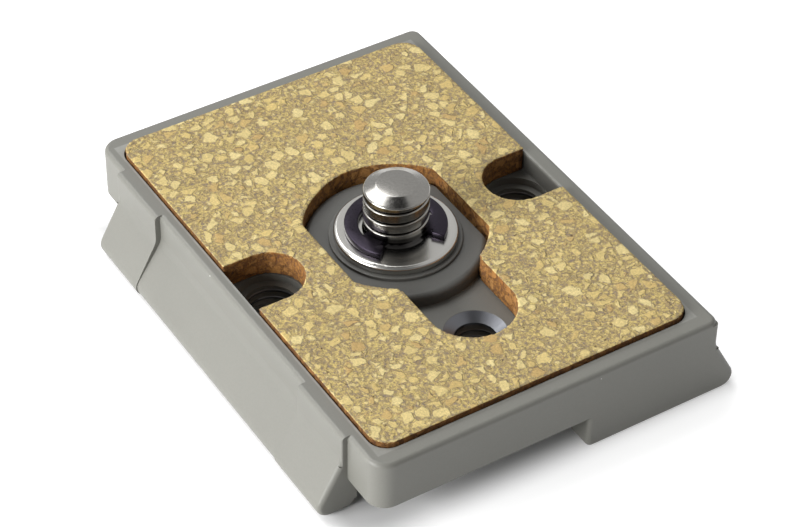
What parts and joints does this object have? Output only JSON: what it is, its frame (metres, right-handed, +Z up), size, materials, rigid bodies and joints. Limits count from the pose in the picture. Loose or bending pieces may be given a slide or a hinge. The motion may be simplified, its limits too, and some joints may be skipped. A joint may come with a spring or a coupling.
{
  "type": "quick release plate",
  "caption": "Rectangular camera quick release plate: cork-topped metal plate with flared rails, a captive camera screw, washer, clip and folding wire ring.",
  "frame": {"origin": "on the camera screw's axis, in the plane of the feet", "axes": "+Z up along the screw, +Y along the rails, +X towards the full-length rail"},
  "size_m": [0.0424, 0.0524, 0.015],
  "materials": {
    "plate_paint": "satin powder coat",
    "cork": "composition cork granules, matte",
    "screw_steel": "dark nickel, polished",
    "washer_steel": "bright nickel",
    "clip_black": "black oxide, satin",
    "ring_steel": "bright spring wire"
  },
  "bodies": {
    "plate": {"plate_body": "plate_paint", "cork_pad": "cork", "screw_washer": "washer_steel"},
    "clip": {"retaining_clip": "clip_black"},
    "screw": {"camera_screw": "screw_steel"},
    "ring": {"screw_ring": "ring_steel"}
  },
  "joints": [
    {"name": "screw_lift", "type": "slide", "parent": "plate", "child": "clip", "axis": [0, 0, 1], "range_m": [0, 0.0006]},
    {"name": "screw_turn", "type": "hinge", "parent": "clip", "child": "screw", "pos_m": [0, 0, 0.005], "axis": [0, 0, 1], "continuous": true},
    {"name": "ring_fold", "type": "hinge", "parent": "screw", "child": "ring", "pos_m": [0, 0, 0.00227], "axis": [1, 0, 0], "range_deg": [0, 180]}
  ]
}
